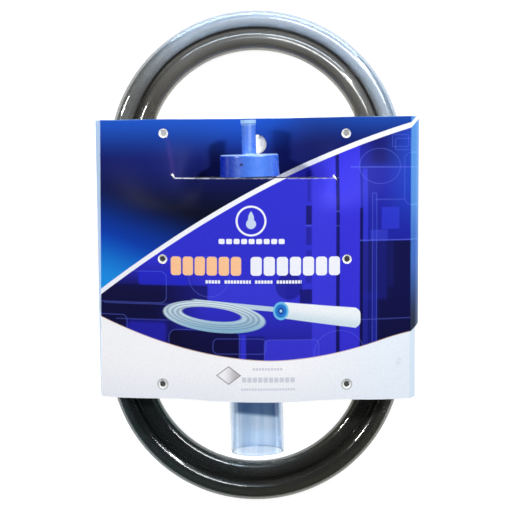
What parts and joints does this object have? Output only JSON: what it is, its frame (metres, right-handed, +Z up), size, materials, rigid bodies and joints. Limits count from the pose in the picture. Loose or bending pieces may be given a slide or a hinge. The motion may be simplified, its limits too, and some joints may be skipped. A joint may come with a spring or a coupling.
{
  "type": "gravel vacuum siphon",
  "caption": "Gravel cleaning siphon: clear wide tube with a blue barbed nozzle cap, held with its coiled clear hose in a folded, printed hanging card sleeve.",
  "frame": {"origin": "under the middle of the rigid pieces (all but the hose coil), on the surface the pack lies on", "axes": "+X across the card to the right, +Y along the card and the tube towards the hang hole, +Z up out of the card's front"},
  "size_m": [0.262, 0.3959, 0.0497],
  "materials": {
    "card_print": "glossy printed card, white core",
    "card_inside": "unprinted white card",
    "hose": "soft clear smoky PVC hose",
    "clear_tube": "clear rigid plastic, slightly blue",
    "blue_plastic": "satin moulded blue plastic",
    "tie": "thin white plastic band"
  },
  "bodies": {
    "sleeve": {"card_back_panel": "card_inside", "card_front_lower": "card_print", "card_front_upper": "card_print", "card_left_side": "card_print", "card_right_side": "card_print", "card_glue_flap": "card_inside", "hose_coil": "hose", "hose_tie_left": "tie", "hose_tie_right": "tie"},
    "tube": {"gravel_tube": "clear_tube"},
    "nozzle": {"nozzle_cap": "blue_plastic", "strainer": "blue_plastic"}
  },
  "joints": [
    {"name": "tube_slide", "type": "slide", "parent": "sleeve", "child": "tube", "axis": [-0.0286, 0.9994, 0.0209], "range_m": [0, 0.05]},
    {"name": "nozzle_pull", "type": "slide", "parent": "tube", "child": "nozzle", "axis": [-0.0286, 0.9994, 0.0209], "range_m": [0, 0.026]}
  ]
}
